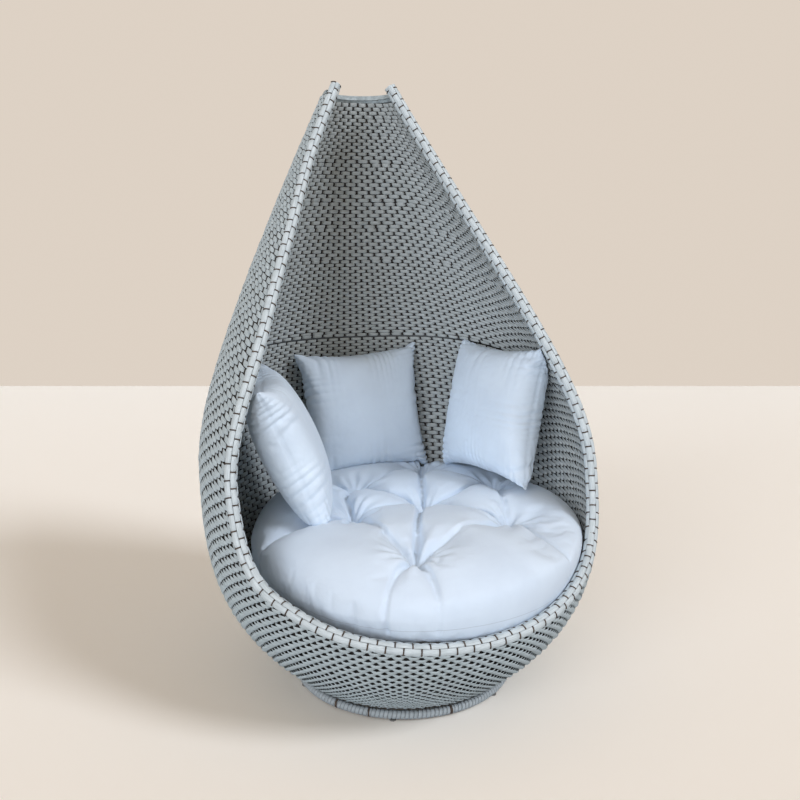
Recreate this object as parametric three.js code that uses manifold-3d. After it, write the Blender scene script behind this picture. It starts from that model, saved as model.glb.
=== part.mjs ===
// Pod chair: a woven teardrop shell on a tube cage, standing on a floor ring,
// with a round tufted seat cushion and three loose square pillows.
// Millimetres, +Z up, the open front faces -Y.

import * as THREE from 'three';
import { mergeVertices } from 'three/addons/utils/BufferGeometryUtils.js';
import Module from 'manifold-3d';

const wasm = await Module();
wasm.setup();

// Driving dimensions
const dropHeight = 2000; // height over which the teardrop's outline is drawn
const hornDrop = 25; // middle of the rim's two tips, under the top of the outline
const topEdgeDrop = 38; // back edge between the tips, under the top of the outline
const bellyRadius = 657;
const bellyHeight = 720;
const footRadius = 362; // lower edge of the weave
const footHeight = 42;
const crownRadius = 114; // radius left at the top of the outline
const crownSetback = 515; // how far the top of the outline stands behind the floor ring's centre
const seamHeight = 1056; // joint between the seat lining and the hood lining
const armHoopHeight = 600;
const deckHeight = 333; // top of the seat panel
const skinThickness = 4; // woven strips over their stakes
const ribDiameter = 12;
const hoopDiameter = 17;
const fit = 0.3; // clearance between pieces that touch
const seamGap = 4;

const ringRadius = 357; // floor ring, to the middle of its tube
const ringTubeDiameter = 26;
const glideHeight = 5;
const glideDiameter = 22;
const stubDiameter = 10;
const stubCount = 6;

const deckHoopDiameter = 25;
const panelThickness = 12;
const slatDiameter = 20;
const slatCount = 5;

const cushionSideGap = 54; // from the round cushion's widest line to the lining, at the sides
const cushionEndGap = 15; // and at the front and back
const cushionHeight = 232;
const cushionAside = 50; // the cushion lies a little to the right
const cushionBack = 24;
const cushionEdge = 150; // width of the rounded edge, above
const cushionTuck = 62; // and below
const tuftRing = 332; // radius of the ring of six tufts
const tuftDepth = 95; // how far a tuft pulls the top down
const tuftReach = 60; // how far from a tuft its pull halves twice over
const creaseDepth = 22; // midway between two tufts
const edgeCreaseDepth = 10; // from the ring of tufts out to the edge
const puffWidth = 85; // rounded side of each puff, from a crease up to its crown
const driftReach = 150; // how far round a tuft the cover moves with it
const tuftCreep = 14; // how far the cover's pattern has crept to the back
const pillowSize = 490;
const pillowThickness = 200;

// Counts
const aroundSteps = 48;
const rowSteps = [4, 3, 4, 5]; // foot to deck hoop, arm hoop, seam, crown
const arcStart = 5; // step round from the front where the hoops of the hood start
const ribCount = 12;
const rimSteps = 40;
const tubeSides = 6;
const ringSides = 8;
const ringSteps = 36;
const tufts = 6; // in the ring round the centre tuft
const pillowCells = 7; // from a pillow's middle to each side

// Turns from the front, in radians
const hornAngle = 1.25;
const stubStart = -0.92;
const tuftStart = -0.375; // the first tuft stands a little left of the front

// Sizes that follow from the ones above
const wall = 2 * skinThickness + ribDiameter + hoopDiameter + 3 * fit;
const rimRadius = wall / 2 - skinThickness - fit; // rim tube
const ribDepth = skinThickness + fit + ribDiameter / 2;
const hoopDepth = skinThickness + ribDiameter + 2 * fit + hoopDiameter / 2;
const deckHoopHeight = deckHeight - panelThickness - fit - deckHoopDiameter / 2;
const deckHoopDepth = hoopDepth + (deckHoopDiameter - hoopDiameter) / 2 - 2 * fit;
const frontRimHeight = deckHoopHeight + deckHoopDiameter / 2 + rimRadius;
const hornHeight = dropHeight - hornDrop;
const topEdgeHeight = dropHeight - topEdgeDrop;
const crownHeight = topEdgeHeight - wall / 2; // middle of the top bar
const overrun = wall * 4; // how far cutting tools run past the shell
const slopeStep = dropHeight / 2000; // height over which the wall's slope is taken

// Shapes of the curves, as powers and shares
const bowlPower = 3;
const shoulderShare = 0.23;
const setbackPower = 2.6;
const setbackShare = 0.93;
// Side view of the opening: height share and reach share, from the front rim to the horns
const rimShares = [
  [0, 0], [0.02, 0.076], [0.05, 0.16], [0.089, 0.254], [0.141, 0.309], [0.243, 0.371],
  [0.364, 0.433], [0.475, 0.505], [0.576, 0.603], [0.707, 0.74], [0.859, 0.898], [1, 1],
];

// The teardrop

// Radius of the shell's outer face at a height.
function podRadius(z) {
  if (z < bellyHeight) {
    const rise = (bellyHeight - z) / (bellyHeight - footHeight);
    return bellyRadius - (bellyRadius - footRadius) * rise ** bowlPower;
  }
  const climb = (z - bellyHeight) / (dropHeight - bellyHeight);
  const bend = Math.hypot(climb, shoulderShare) - shoulderShare;
  const full = Math.hypot(1, shoulderShare) - shoulderShare;
  return bellyRadius - (bellyRadius - crownRadius) * (bend / full);
}

// How far the shell's centre stands back at a height.
function podSetback(z) {
  const share = Math.max(z / dropHeight, 0);
  const lean = share ** setbackPower;
  return crownSetback * lean / (lean + setbackShare * (1 - share));
}

function slopeOf(outline, z) {
  return (outline(z + slopeStep) - outline(z - slopeStep)) / (2 * slopeStep);
}

// Straight out of the wall, at a height and an angle from the front.
function wallNormal(z, angle) {
  const up = slopeOf(podSetback, z) * Math.cos(angle) - slopeOf(podRadius, z);
  return new THREE.Vector3(Math.sin(angle), -Math.cos(angle), up).normalize();
}

// A point of the wall at a depth under the outer face.
function wallPoint(z, angle, depth = 0) {
  const x = podRadius(z) * Math.sin(angle);
  const y = podSetback(z) - podRadius(z) * Math.cos(angle);
  return new THREE.Vector3(x, y, z).addScaledVector(wallNormal(z, angle), -depth);
}

// The same, at the height that the point itself ends up at.
function levelPoint(height, angle, depth) {
  let row = height;
  for (let k = 0; k < 8; k++) {
    row += height - wallPoint(row, angle, depth).z;
  }
  return wallPoint(row, angle, depth);
}

const deckRow = rowSteps[0];
const armRow = deckRow + rowSteps[1];
const seamRow = armRow + rowSteps[2];
const rows = rowHeights();

function rowHeights() {
  const marks = [footHeight, deckHoopHeight, armHoopHeight, seamHeight, topEdgeHeight];
  const heights = [footHeight];
  rowSteps.forEach((count, span) => {
    for (let k = 1; k <= count; k++) {
      heights.push(THREE.MathUtils.lerp(marks[span], marks[span + 1], k / count));
    }
  });
  return heights;
}

// Building tools

class StationPath extends THREE.Curve {
  // A path through given points, so that neighbouring tubes and skins bend at the same places.
  constructor(points) {
    super();
    this.points = points;
  }

  getPoint(t, target = new THREE.Vector3()) {
    const place = t * (this.points.length - 1);
    const index = Math.min(Math.floor(place), this.points.length - 2);
    return target.lerpVectors(this.points[index], this.points[index + 1], place - index);
  }

  getPointAt(u, target) {
    return this.getPoint(u, target);
  }

  getTangentAt(u, target = new THREE.Vector3()) {
    const index = Math.round(u * (this.points.length - 1));
    const before = this.points[Math.max(index - 1, 0)];
    const after = this.points[Math.min(index + 1, this.points.length - 1)];
    return target.subVectors(after, before).normalize();
  }
}

function disc(radius, sides) {
  const shape = new THREE.Shape();
  for (let k = 0; k < sides; k++) {
    const turn = 2 * Math.PI * k / sides;
    const x = radius * Math.cos(turn);
    const y = radius * Math.sin(turn);
    if (k === 0) {
      shape.moveTo(x, y);
    } else {
      shape.lineTo(x, y);
    }
  }
  return shape;
}

function tube(points, diameter, sides = tubeSides) {
  return new THREE.ExtrudeGeometry(disc(diameter / 2, sides), {
    steps: points.length - 1,
    extrudePath: new StationPath(points),
    bevelEnabled: false,
    curveSegments: 1,
  });
}

// A closed ring turned about an upright axis through y = back.
function ring(radius, height, diameter, sides, steps, back = 0) {
  const profile = [];
  for (let k = 0; k <= sides; k++) {
    const turn = 2 * Math.PI * (k % sides) / sides;
    const out = radius + diameter / 2 * Math.cos(turn);
    profile.push(new THREE.Vector2(out, height + diameter / 2 * Math.sin(turn)));
  }
  return upright(new THREE.LatheGeometry(profile, steps), back);
}

// Stands a turned shape on +Z, its first seam at the front.
function upright(geometry, back = 0) {
  geometry.rotateX(Math.PI / 2);
  geometry.translate(0, back, 0);
  return geometry;
}

function pin(diameter, length, sides) {
  const geometry = new THREE.CylinderGeometry(diameter / 2, diameter / 2, length, sides);
  geometry.rotateX(Math.PI / 2);
  return geometry;
}

// A body lofted through rings of points. The rings close on themselves around; in the other
// direction the body closes on itself too, or ends in flat caps or in points.
function loft(rings, closed = false) {
  const size = rings[0].length;
  const positions = rings.flat().flatMap((p) => [p.x, p.y, p.z]);
  const faces = [];
  const spans = closed ? rings.length : rings.length - 1;
  for (let i = 0; i < spans; i++) {
    const next = (i + 1) % rings.length;
    for (let j = 0; j < size; j++) {
      const side = (j + 1) % size;
      const a = i * size + j;
      const b = i * size + side;
      const c = next * size + side;
      const d = next * size + j;
      faces.push(a, b, c, a, c, d);
    }
  }
  if (!closed) {
    const last = (rings.length - 1) * size;
    for (let j = 1; j < size - 1; j++) {
      faces.push(0, j + 1, j, last, last + j, last + j + 1);
    }
  }
  const geometry = new THREE.BufferGeometry();
  geometry.setAttribute('position', new THREE.Float32BufferAttribute(positions, 3));
  geometry.setIndex(faces);
  return geometry;
}

function welded(geometry) {
  const bare = geometry.clone();
  bare.deleteAttribute('normal');
  bare.deleteAttribute('uv');
  return mergeVertices(bare, fit / 100);
}

function toSolid(geometry) {
  const bare = welded(geometry);
  return new wasm.Manifold(new wasm.Mesh({
    numProp: 3,
    vertProperties: new Float32Array(bare.attributes.position.array),
    triVerts: new Uint32Array(bare.index.array),
  }));
}

function toGeometry(solid) {
  const mesh = solid.getMesh();
  const geometry = new THREE.BufferGeometry();
  geometry.setAttribute('position', new THREE.BufferAttribute(mesh.vertProperties, 3));
  geometry.setIndex(new THREE.BufferAttribute(mesh.triVerts, 1));
  return geometry;
}

function cut(geometry, ...tools) {
  let solid = toSolid(geometry);
  for (const tool of tools) {
    solid = solid.subtract(tool);
  }
  return toGeometry(solid.simplify(fit / 10));
}

// Materials

const weaveColour = 0x8f9690;
const liningColour = 0x6f7571;
const metalColour = 0x4a4f4f;
const fabricColour = 0xdfe7ee;

const pod = new THREE.Group();

function add(name, geometry, colour, roughness, metalness = 0) {
  const material = new THREE.MeshStandardMaterial({ color: colour, roughness, metalness });
  const mesh = new THREE.Mesh(welded(geometry), material);
  mesh.name = name;
  mesh.geometry.computeVertexNormals();
  pod.add(mesh);
  return mesh;
}

function addFrame(name, geometry) {
  return add(name, geometry, metalColour, 0.45, 0.6);
}

// Rim: the edge of the opening, from the left horn down round the front to the right horn

// Finds the point at mid wall that shows at (y, z) from the side.
function rimPlace(y, z) {
  let aimY = y;
  let aimZ = z;
  let angle = 0;
  let place = null;
  for (let k = 0; k < 12; k++) {
    const share = (podSetback(aimZ) - aimY) / podRadius(aimZ);
    angle = Math.acos(THREE.MathUtils.clamp(share, -1, 1));
    place = wallPoint(aimZ, angle, wall / 2);
    aimY += y - place.y;
    aimZ += z - place.z;
  }
  return place;
}

function rimHalf() {
  const front = wallPoint(frontRimHeight, 0, wall / 2);
  const horn = levelPoint(hornHeight - fit, hornAngle, wall / 2);
  const controls = rimShares.map(([rise, reach]) => new THREE.Vector3(
    0,
    THREE.MathUtils.lerp(front.y, horn.y, reach),
    THREE.MathUtils.lerp(front.z, horn.z, rise),
  ));
  const sideView = new THREE.CatmullRomCurve3(controls, false, 'centripetal');
  const dense = [new THREE.Vector3(0, front.y, front.z)];
  const denseSteps = 240;
  for (let k = 1; k <= denseSteps; k++) {
    const spot = sideView.getPointAt((k / denseSteps) ** 2);
    dense.push(rimPlace(spot.y, spot.z));
  }
  return new THREE.CatmullRomCurve3(dense).getSpacedPoints(rimSteps / 2);
}

const rightRim = rimHalf();
const rim = [
  ...rightRim.slice(1).reverse().map((p) => new THREE.Vector3(-p.x, p.y, p.z)),
  ...rightRim,
];

// Wall directions at each rim point: along the rim, out of the wall, towards the opening.
const rimFrames = rim.map((point, k) => {
  const before = rim[Math.max(k - 1, 0)];
  const after = rim[Math.min(k + 1, rim.length - 1)];
  const along = new THREE.Vector3().subVectors(after, before).normalize();
  const angle = Math.atan2(point.x, podSetback(point.z) - point.y);
  const out = wallNormal(point.z, angle);
  out.addScaledVector(along, -out.dot(along)).normalize();
  const open = new THREE.Vector3().crossVectors(out, along).normalize();
  return { point, along, out, open };
});

// Takes away all that stands well in front of the rim line.
function frontTool() {
  const half = rimFrames.slice(rimSteps / 2);
  const line = half.map(({ point, open }) => {
    const moved = point.clone().addScaledVector(open, wall);
    return new THREE.Vector2(moved.y, moved.z);
  });
  const lip = line[0].clone().sub(line[1]).setLength(overrun).add(line[0]);
  const top = line[line.length - 1];
  const shape = new THREE.Shape([
    lip,
    ...line,
    new THREE.Vector2(top.x, dropHeight + overrun),
    new THREE.Vector2(lip.x - overrun, dropHeight + overrun),
    new THREE.Vector2(lip.x - overrun, lip.y),
  ]);
  const halfWidth = bellyRadius + overrun;
  const geometry = new THREE.ExtrudeGeometry(shape, { depth: 2 * halfWidth, bevelEnabled: false });
  geometry.translate(0, 0, -halfWidth);
  geometry.applyMatrix4(new THREE.Matrix4().makeBasis(
    new THREE.Vector3(0, 1, 0),
    new THREE.Vector3(0, 0, 1),
    new THREE.Vector3(1, 0, 0),
  ));
  return toSolid(geometry);
}

// Trims the wall square to its face, a distance behind the middle of the rim tube.
function rimBand(inset) {
  const front = 2 * wall;
  const corners = [[front, -wall], [front, wall], [-inset, wall], [-inset, -wall]];
  return toSolid(loft(rimFrames.map(({ point, out, open }) => corners.map(
    ([ahead, outward]) => point.clone().addScaledVector(open, ahead).addScaledVector(out, outward),
  ))));
}

const skinTools = [frontTool(), rimBand(3 * fit)];
const frameTools = [frontTool(), rimBand(rimRadius + fit)];

function topTool(height) {
  const size = 2 * (bellyRadius + overrun);
  const block = new THREE.BoxGeometry(size, 2 * size, overrun);
  block.translate(0, 0, height + overrun / 2);
  return toSolid(block);
}

const skinTopTool = topTool(crownHeight);
const ribTopTool = topTool(crownHeight - rimRadius - fit);

// Skins

// A sheet of the wall between two depths and two heights, all the way round.
function sheet(depth, heights) {
  const inner = heights.map((z) => [z, depth + skinThickness]);
  const outer = heights.map((z) => [z, depth]).reverse();
  const section = [...inner, ...outer];
  const rings = [];
  for (let j = 0; j < aroundSteps; j++) {
    const angle = 2 * Math.PI * j / aroundSteps;
    rings.push(section.map(([z, under]) => wallPoint(z, angle, under)));
  }
  return loft(rings, true);
}

const rimTool = toSolid(tube(rim, 2 * (rimRadius + fit), ringSides));
add('outer_weave', cut(sheet(0, rows), ...skinTools, rimTool, skinTopTool), weaveColour, 0.6);

const liningDepth = wall - skinThickness;
const liningFoot = deckHeight - panelThickness;
const seatRows = [liningFoot, ...rows.slice(deckRow + 1, seamRow), seamHeight - seamGap / 2];
const hoodRows = [seamHeight + seamGap / 2, ...rows.slice(seamRow + 1)];
const liningTools = [...skinTools, rimTool, skinTopTool];
add('seat_back_lining', cut(sheet(liningDepth, seatRows), ...liningTools), liningColour, 0.65);
add('hood_lining', cut(sheet(liningDepth, hoodRows), ...liningTools), liningColour, 0.65);

// Rim tube and the three strands that bind it

addFrame('rim_tube', tube(rim, 2 * rimRadius, ringSides));

// One strand: a curved strip over the rim tube between two turns, 0 at the very edge.
function rimStrand(frames, startTurn, endTurn, across = 2) {
  const half = (endTurn - startTurn) / across / 2;
  const inside = (rimRadius + fit) / Math.cos(half);
  const outside = wall / 2;
  return frames.map(({ point, out, open }) => {
    const ringPoints = [];
    for (let k = 0; k <= across; k++) {
      ringPoints.push([outside, THREE.MathUtils.lerp(startTurn, endTurn, k / across)]);
    }
    for (let k = across; k >= 0; k--) {
      ringPoints.push([inside, THREE.MathUtils.lerp(startTurn, endTurn, k / across)]);
    }
    return ringPoints.map(([radius, turn]) => point.clone()
      .addScaledVector(open, radius * Math.cos(turn))
      .addScaledVector(out, radius * Math.sin(turn)));
  });
}

const strandNames = ['rim_strand_outer', 'rim_strand_edge', 'rim_strand_inner'];
const strandTurn = Math.PI / 3;
const strandGapTurn = fit / rimRadius;
strandNames.forEach((name, k) => {
  const middle = strandTurn * (1 - k);
  const reach = strandTurn / 2 - strandGapTurn;
  add(name, loft(rimStrand(rimFrames, middle - reach, middle + reach)), weaveColour, 0.55);
});

// Cage: hoops round the pod and ribs up it

function hoop(side, diameter) {
  return ring(side.x, side.z, diameter, tubeSides, aroundSteps, side.y);
}

function arc(height, depth, diameter, sides = tubeSides) {
  const points = [];
  for (let j = arcStart; j <= aroundSteps - arcStart; j++) {
    points.push(levelPoint(height, 2 * Math.PI * j / aroundSteps, depth));
  }
  return tube(points, diameter, sides);
}

const footHoopDepth = skinThickness + fit + hoopDiameter / 2;
const footHoop = wallPoint(footHeight, Math.PI / 2, footHoopDepth);
const bowlHoop = wallPoint(rows[2], Math.PI / 2, hoopDepth);
const deckHoop = levelPoint(deckHoopHeight, Math.PI / 2, deckHoopDepth);
addFrame('foot_hoop', hoop(footHoop, hoopDiameter));
addFrame('bowl_hoop', hoop(bowlHoop, hoopDiameter));
addFrame('deck_hoop', hoop(deckHoop, deckHoopDiameter));
const hoopHeights = {
  arm_hoop: armHoopHeight,
  seam_hoop: seamHeight,
  hood_hoop_lower: rows[seamRow + 2],
  hood_hoop_upper: rows[seamRow + 4],
};
for (const [name, height] of Object.entries(hoopHeights)) {
  addFrame(name, cut(arc(height, hoopDepth, hoopDiameter), ...frameTools));
}
addFrame('top_bar', cut(arc(crownHeight, wall / 2, 2 * rimRadius, ringSides), ...frameTools));

function rib(angle) {
  const points = rows.map((z) => wallPoint(z, angle, ribDepth));
  const first = points[0].distanceTo(points[1]);
  points[0].lerp(points[1], (hoopDiameter / 2 + ribDiameter) / first);
  return cut(tube(points, ribDiameter), ...frameTools, ribTopTool);
}

for (let k = 0; k < ribCount; k++) {
  addFrame(`rib_${String(k + 1).padStart(2, '0')}`, rib(2 * Math.PI * k / ribCount));
}

// Top strand: caps the back edge between the horns

function topFrames() {
  const frames = [];
  for (let j = arcStart; j <= aroundSteps - arcStart; j++) {
    const angle = 2 * Math.PI * j / aroundSteps;
    frames.push({
      point: levelPoint(crownHeight, angle, wall / 2),
      out: new THREE.Vector3(Math.sin(angle), -Math.cos(angle), 0),
      open: new THREE.Vector3(0, 0, 1),
    });
  }
  return frames;
}

const strandTools = [frontTool(), rimBand(wall / 2 + fit)];
const quarter = Math.PI / 2 - strandGapTurn;
const topStrand = loft(rimStrand(topFrames(), -quarter, quarter, 3));
add('top_strand', cut(topStrand, ...strandTools), weaveColour, 0.55);

// Seat deck

const slatHeight = deckHoopHeight + (deckHoopDiameter - slatDiameter) / 2;
const deckReach = deckHoop.x * Math.cos(Math.PI / aroundSteps) - deckHoopDiameter / 2 - fit;
for (let k = 0; k < slatCount; k++) {
  const share = (k + 1) / (slatCount + 1) * 2 - 1;
  const back = share * deckReach;
  const edge = Math.abs(back) + slatDiameter / 2;
  const length = 2 * Math.sqrt(deckReach ** 2 - edge ** 2);
  const slat = pin(slatDiameter, length, ringSides);
  slat.rotateY(Math.PI / 2);
  slat.translate(0, deckHoop.y + back, slatHeight);
  addFrame(`deck_slat_${k + 1}`, slat);
}

const panelEdge = levelPoint(deckHeight - panelThickness, Math.PI / 2, wall);
const panelFront = wallPoint(frontRimHeight, 0, wall / 2 + rimRadius + fit);
const panelRadius = Math.min(panelEdge.x, deckHoop.y - panelFront.y) - fit;
const panel = upright(new THREE.LatheGeometry([
  new THREE.Vector2(0, deckHeight - panelThickness),
  new THREE.Vector2(panelRadius, deckHeight - panelThickness),
  new THREE.Vector2(panelRadius, deckHeight),
  new THREE.Vector2(0, deckHeight),
], aroundSteps), deckHoop.y);
add('seat_panel', panel, liningColour, 0.7);

// Floor ring, its stubs and glides

const ringHeight = glideHeight + fit + ringTubeDiameter / 2;
const floorRing = ring(ringRadius, ringHeight, ringTubeDiameter, ringSides, ringSteps);
add('base_ring', floorRing, weaveColour, 0.55);

const hoopFlatShare = Math.cos(Math.PI / tubeSides); // the hoop's section is flat underneath
for (let k = 0; k < stubCount; k++) {
  const angle = stubStart + 2 * Math.PI * k / stubCount;
  const low = ringHeight + ringTubeDiameter / 2 + fit;
  const high = footHoop.z - hoopDiameter / 2 * hoopFlatShare - fit;
  const stub = pin(stubDiameter, high - low, ringSides);
  stub.translate(footHoop.x * Math.sin(angle), -footHoop.x * Math.cos(angle), (low + high) / 2);
  addFrame(`foot_stub_${k + 1}`, stub);

  const glide = pin(glideDiameter, glideHeight, ringSides);
  const turn = angle + Math.PI / stubCount;
  glide.translate(ringRadius * Math.sin(turn), -ringRadius * Math.cos(turn), glideHeight / 2);
  add(`glide_${k + 1}`, glide, metalColour, 0.7);
}

// Seat cushion: a fat round cushion drawn down by a centre tuft and a ring of six

const waistShare = 0.44; // how high up the widest line lies
const fadeShare = 0.3; // width of the border where the cover keeps its place
// How far each hand-set tuft has drifted from the even ring, the centre first, then from the front
const driftShares = [
  [0.055, 0.055], [-0.045, -0.136], [0.08, 0.129], [0.049, 0.204],
  [0.07, 0.168], [0.095, -0.018], [0.172, 0.09],
];
const seamPullShare = 0.012;
const cushionLift = deckHeight + fit;
const cushionWaist = cushionHeight * waistShare;
const seatRadius = podRadius(cushionLift + cushionWaist) - wall;
const cushionRadius = seatRadius - cushionSideGap;
const cushionReach = seatRadius - cushionEndGap;

const tuftPlaces = [new THREE.Vector2(0, 0)];
for (let k = 0; k < tufts; k++) {
  const angle = tuftStart + 2 * Math.PI * k / tufts;
  tuftPlaces.push(new THREE.Vector2(tuftRing * Math.sin(angle), -tuftRing * Math.cos(angle)));
}

function lineDistance(spot, from, to) {
  const run = to.clone().sub(from);
  const share = THREE.MathUtils.clamp(spot.clone().sub(from).dot(run) / run.lengthSq(), 0, 1);
  return spot.distanceTo(from.clone().addScaledVector(run, share));
}

// Side of a puff: steep at the crease, level at the crown.
function valleyShare(distance) {
  const out = 1 - Math.min(distance / puffWidth, 1);
  return 1 - Math.sqrt(1 - out * out);
}

// How far the top lies under its crown at a spot of the even pattern.
function tuftFall(spot) {
  const nearest = Math.min(...tuftPlaces.map((tuft) => spot.distanceTo(tuft)));
  const pull = Math.exp(-nearest / tuftReach);
  let fall = 0;
  for (let k = 1; k <= tufts; k++) {
    const here = tuftPlaces[k];
    const next = tuftPlaces[k % tufts + 1];
    const edge = here.clone().setLength(cushionRadius);
    const creases = [
      [tuftPlaces[0], here, creaseDepth],
      [here, next, creaseDepth],
      [here, edge, edgeCreaseDepth],
    ];
    for (const [from, to, depth] of creases) {
      const pulled = THREE.MathUtils.lerp(depth, tuftDepth, pull);
      fall = Math.max(fall, pulled * valleyShare(lineDistance(spot, from, to)));
    }
  }
  return fall;
}

// Moves a spot of the even pattern along with the tufts round it.
function drifted(spot, share) {
  const moved = spot.clone();
  const hold = cushionRadius * Math.min(1, (1 - share) / fadeShare);
  driftShares.forEach(([across, back], k) => {
    const near = hold * Math.exp(-((spot.distanceTo(tuftPlaces[k]) / driftReach) ** 2));
    moved.x += across * near;
    moved.y += back * near;
  });
  return moved;
}

function cushionPoint(share, angle, top) {
  const spot = new THREE.Vector2(Math.sin(angle), -Math.cos(angle));
  spot.multiplyScalar(share * cushionRadius);
  const creep = tuftCreep * (1 - share * share);
  const inFromEdge = Math.min(1, cushionRadius * (1 - share) / (top ? cushionEdge : cushionTuck));
  const edge = Math.sqrt(1 - (1 - inFromEdge) ** 2);
  const betweenTufts = Math.abs(Math.sin(tufts * (angle - tuftStart) / 2));
  const puff = 1 - tufts * seamPullShare * share ** tufts * (1 - betweenTufts);
  const height = top
    ? cushionWaist + (cushionHeight - cushionWaist) * edge - tuftFall(spot) * inFromEdge
    : cushionWaist * (1 - edge);
  const place = top ? drifted(spot, share) : spot;
  return new THREE.Vector3(
    place.x * puff + cushionAside,
    place.y * puff * cushionReach / cushionRadius + creep + cushionBack,
    cushionLift + height,
  );
}

function cushionRings() {
  const around = 7 * tufts;
  const tuftAtShare = tuftRing / cushionRadius;
  const lowerShares = [0.4, 0.88, 0.93, 0.98];
  const innerShares = [0.04, 0.12, 0.25, 0.37, 0.47];
  const outerShares = [0.64, 0.72, 0.8, 0.87, 0.93, 0.975, 1];
  const upperShares = [...innerShares, tuftAtShare, ...outerShares].sort((a, b) => b - a);
  const path = [
    ...lowerShares.map((share) => [share, false]),
    ...upperShares.map((share) => [share, true]),
  ];
  return path.map(([share, top]) => {
    const points = [];
    for (let j = 0; j < around; j++) {
      points.push(cushionPoint(share, tuftStart + 2 * Math.PI * j / around, top));
    }
    return points;
  });
}

// The space inside the linings, where the soft pieces lie pressed against the wall.
function innerSpace() {
  return loft(rows.map((z) => {
    const points = [];
    for (let j = 0; j < aroundSteps; j++) {
      points.push(wallPoint(z, 2 * Math.PI * j / aroundSteps, wall + fit));
    }
    return points;
  }));
}

const space = toSolid(innerSpace());
const cushion = toSolid(loft(cushionRings())).intersect(space);
add('seat_cushion', toGeometry(cushion), fabricColour, 0.9);

// Pillows: square, with drawn-in sides and pointed corners

const pillowDrawShare = 0.07;
const pillowPower = 0.43;

function pillowForm() {
  const rings = [];
  const stations = [];
  for (let k = -pillowCells; k <= pillowCells; k++) {
    stations.push(Math.sin(Math.PI / 2 * k / pillowCells));
  }
  const place = (u, v, face) => new THREE.Vector3(
    pillowSize / 2 * u * (1 - pillowDrawShare * (1 - v * v)),
    face * pillowThickness / 2 * ((1 - u * u) * (1 - v * v)) ** pillowPower,
    pillowSize / 2 * v * (1 - pillowDrawShare * (1 - u * u)),
  );
  for (const v of stations) {
    const front = stations.map((u) => place(u, v, -1));
    const rear = stations.slice(1, -1).reverse().map((u) => place(u, v, 1));
    rings.push([...front, ...rear]);
  }
  return pillowGrid(rings);
}

// The first and last rings lie flat on the side seams, so they close without caps.
function pillowGrid(rings) {
  const geometry = loft(rings);
  const size = rings[0].length;
  const sides = 6 * size * (rings.length - 1);
  geometry.setIndex([...geometry.index.array].slice(0, sides));
  return clean(geometry);
}

// Drops the triangles that closed up to a line.
function clean(geometry) {
  const bare = welded(geometry);
  const index = bare.index.array;
  const kept = [];
  for (let k = 0; k < index.length; k += 3) {
    const [a, b, c] = [index[k], index[k + 1], index[k + 2]];
    if (a !== b && b !== c && c !== a) {
      kept.push(a, b, c);
    }
  }
  bare.setIndex(kept);
  return bare;
}

// Middles as shares of the belly's radius, heights over the cushion as shares of a pillow.
// In radians, turn is where the face looks, from the front; lean tips it up; roll turns it.
const pillowShares = {
  throw_pillow_left: { across: -0.54, back: 0.235, rise: 0.42, turn: 1.417, lean: 0.402, roll: -0.028 },
  throw_pillow_back: { across: 0.021, back: 0.867, rise: 0.415, turn: 0.042, lean: 0.192, roll: -0.048 },
  throw_pillow_right: { across: 0.636, back: 0.341, rise: 0.5, turn: -1.365, lean: 0.216, roll: -0.056 },
};

const cushionTool = cushion.translate([0, 0, fit]);

for (const [name, placing] of Object.entries(pillowShares)) {
  const { across, back, rise, turn, lean, roll } = placing;
  const form = pillowForm();
  form.rotateY(roll);
  form.rotateX(-lean);
  form.rotateZ(turn);
  const height = cushionLift + cushionHeight + rise * pillowSize;
  form.translate(across * bellyRadius, back * bellyRadius, height);
  const pressed = toSolid(form).intersect(space).subtract(cushionTool);
  add(name, toGeometry(pressed), fabricColour, 0.9);
}

// The origin is the middle of the footprint, on the floor.
const bounds = new THREE.Box3().setFromObject(pod);
pod.position.y = -(bounds.min.y + bounds.max.y) / 2;

export default pod;
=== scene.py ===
import math
import bpy
import numpy as np
from mathutils import Matrix, Vector
from mathutils.bvhtree import BVHTree
from mathutils.kdtree import KDTree


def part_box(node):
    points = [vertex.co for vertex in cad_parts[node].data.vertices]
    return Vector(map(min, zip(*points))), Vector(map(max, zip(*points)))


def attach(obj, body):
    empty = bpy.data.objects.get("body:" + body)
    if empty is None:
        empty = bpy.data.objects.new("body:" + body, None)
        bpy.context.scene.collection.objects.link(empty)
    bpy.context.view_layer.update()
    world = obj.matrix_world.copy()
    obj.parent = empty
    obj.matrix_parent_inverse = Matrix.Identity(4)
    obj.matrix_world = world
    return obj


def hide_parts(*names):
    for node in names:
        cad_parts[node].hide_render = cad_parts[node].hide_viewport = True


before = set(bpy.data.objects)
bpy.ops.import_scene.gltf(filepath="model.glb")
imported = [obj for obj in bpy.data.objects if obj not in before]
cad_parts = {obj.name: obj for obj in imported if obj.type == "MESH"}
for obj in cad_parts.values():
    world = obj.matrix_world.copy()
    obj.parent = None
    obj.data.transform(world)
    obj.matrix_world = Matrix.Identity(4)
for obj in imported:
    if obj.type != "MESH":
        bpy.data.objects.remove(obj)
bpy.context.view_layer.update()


# Pod chair: woven resin strips over a tube cage, cotton cushion and pillows

scene = bpy.context.scene


def report(words):
    print("pod chair:", words)


def middle(node):
    low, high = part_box(node)
    return (low + high) / 2


# Colours and nodes


def linear(hexColour):
    channels = [int(hexColour[i:i + 2], 16) / 255 for i in (1, 3, 5)]
    return [c / 12.92 if c <= 0.04045 else ((c + 0.055) / 1.055) ** 2.4 for c in channels] + [1.0]


def perMetre(millimetres):  # a pattern's scale, from its real size
    return 1000 / millimetres


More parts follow.
